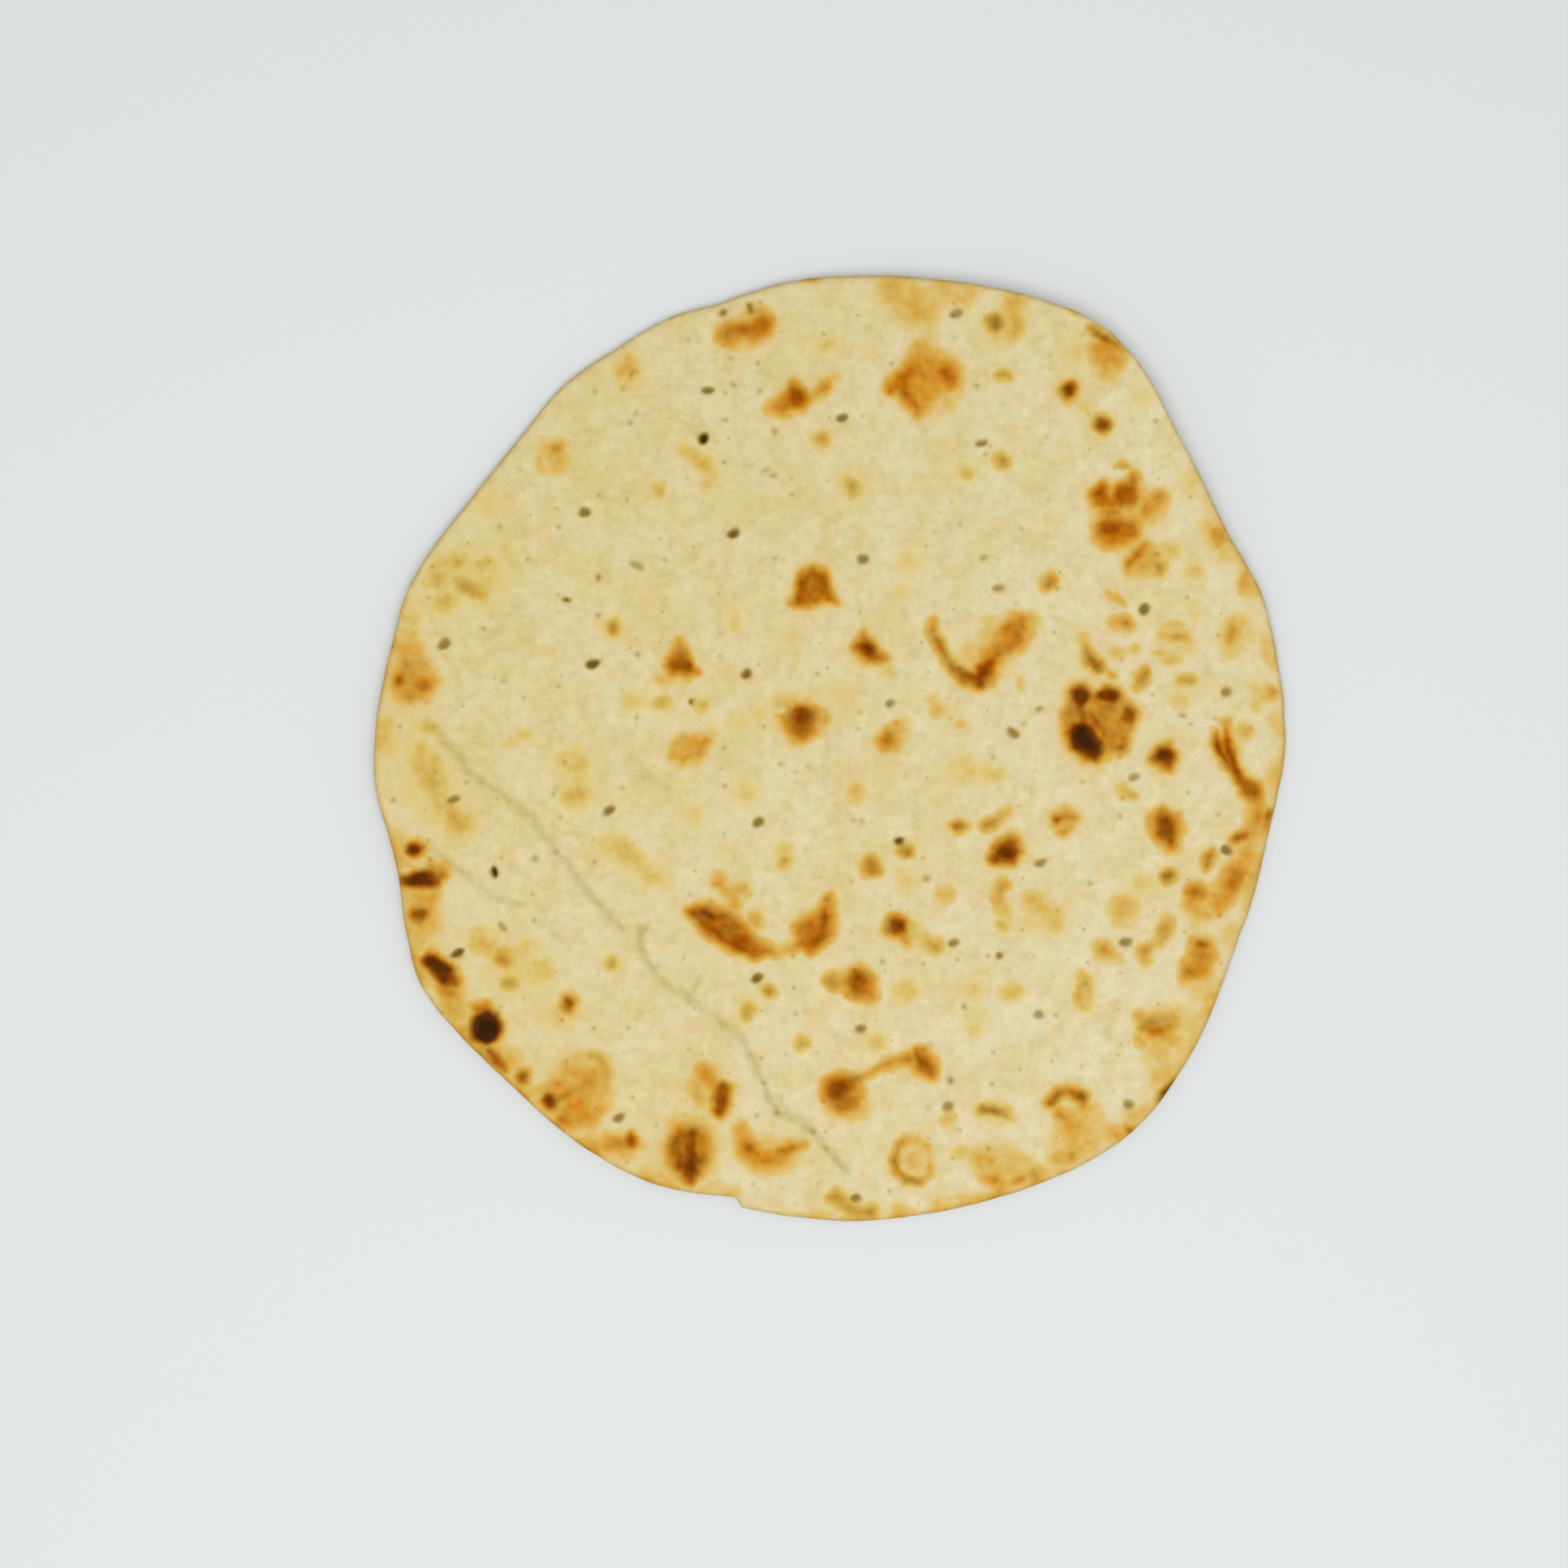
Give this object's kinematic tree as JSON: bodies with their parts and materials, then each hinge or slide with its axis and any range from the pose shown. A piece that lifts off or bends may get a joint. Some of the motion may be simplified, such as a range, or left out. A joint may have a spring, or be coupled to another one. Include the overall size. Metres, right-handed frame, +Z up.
{
  "type": "pita bread",
  "caption": "Thin round flatbread with an uneven hand-rolled outline, rows of docking holes, scorched blisters and a fold crease across one side.",
  "frame": {"origin": "under the middle of the bread's box, on the surface that it lies on", "axes": "+Z up out of the baked face, +Y along the bread's longest way across, +X to its right seen from above"},
  "size_m": [0.235, 0.2436, 0.0068],
  "materials": {
    "crust": "matte"
  },
  "bodies": {
    "root": {"bread": "crust"}
  },
  "joints": []
}
